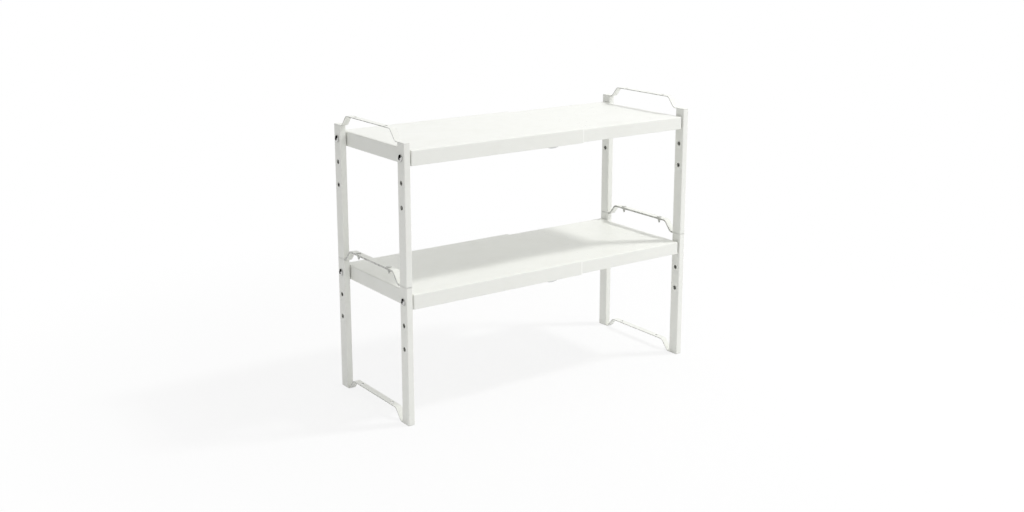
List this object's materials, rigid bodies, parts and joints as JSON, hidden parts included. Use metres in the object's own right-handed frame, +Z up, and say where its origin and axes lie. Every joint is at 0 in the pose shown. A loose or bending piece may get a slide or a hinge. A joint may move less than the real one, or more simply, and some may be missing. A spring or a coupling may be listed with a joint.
{
  "type": "expandable shelf organizer",
  "caption": "Tiered steel shelf organizer with end frames of rectangular tube, nested sliding trays that change its width, and a top tier that lifts off the handles of the lower tier",
  "frame": {"origin": "centre of the footprint at the height of the four feet, in the pose of the picture", "axes": "+X along the shelves, from the outer trays' end frame to the inner trays'; -Y to the front; +Z up"},
  "size_m": [0.5944, 0.226, 0.4783],
  "materials": {
    "white_powder_coat": "satin white powder coat on steel tube and sheet",
    "chrome": "bright plated steel screws",
    "zinc_plate": "dull zinc plate on steel rivet nuts",
    "plug_plastic": "white moulded plastic",
    "glide_plastic": "pale grey moulded plastic"
  },
  "bodies": {
    "lower_left_half": {"lower_left_handle": "white_powder_coat", "lower_left_brace": "white_powder_coat", "lower_outer_tray": "white_powder_coat", "lower_left_front_leg": "white_powder_coat", "lower_left_front_screw": "chrome", "lower_left_front_rivet_nut": "zinc_plate", "lower_left_back_leg": "white_powder_coat", "lower_left_back_screw": "chrome", "lower_left_back_rivet_nut": "zinc_plate"},
    "lower_right_half": {"lower_right_handle": "white_powder_coat", "lower_right_brace": "white_powder_coat", "lower_inner_tray": "white_powder_coat", "lower_right_front_leg": "white_powder_coat", "lower_right_front_screw": "chrome", "lower_right_front_rivet_nut": "zinc_plate", "lower_front_glide": "glide_plastic", "lower_right_back_leg": "white_powder_coat", "lower_right_back_screw": "chrome", "lower_right_back_rivet_nut": "zinc_plate", "lower_back_glide": "glide_plastic"},
    "upper_left_half": {"upper_left_handle": "white_powder_coat", "upper_left_brace": "white_powder_coat", "upper_outer_tray": "white_powder_coat", "upper_left_front_leg": "white_powder_coat", "upper_left_front_screw": "chrome", "upper_left_front_rivet_nut": "zinc_plate", "left_front_plug": "plug_plastic", "upper_left_back_leg": "white_powder_coat", "upper_left_back_screw": "chrome", "upper_left_back_rivet_nut": "zinc_plate", "left_back_plug": "plug_plastic"},
    "upper_right_half": {"upper_right_handle": "white_powder_coat", "upper_right_brace": "white_powder_coat", "upper_inner_tray": "white_powder_coat", "upper_right_front_leg": "white_powder_coat", "upper_right_front_screw": "chrome", "upper_right_front_rivet_nut": "zinc_plate", "upper_front_glide": "glide_plastic", "right_front_plug": "plug_plastic", "upper_right_back_leg": "white_powder_coat", "upper_right_back_screw": "chrome", "upper_right_back_rivet_nut": "zinc_plate", "upper_back_glide": "glide_plastic", "right_back_plug": "plug_plastic"}
  },
  "joints": [
    {"name": "expand", "type": "slide", "parent": "lower_left_half", "child": "lower_right_half", "axis": [1, 0, 0], "range_m": [-0.222, 0.025]},
    {"name": "stack_lift_left", "type": "slide", "parent": "lower_left_half", "child": "upper_left_half", "axis": [0, 0, 1], "range_m": [0, 0.06]},
    {"name": "stack_lift_right", "type": "slide", "parent": "lower_right_half", "child": "upper_right_half", "axis": [0, 0, 1], "range_m": [0, 0.06]}
  ],
  "couplings": [
    {"joint": "stack_lift_right", "follows": "stack_lift_left", "ratio": 1}
  ]
}
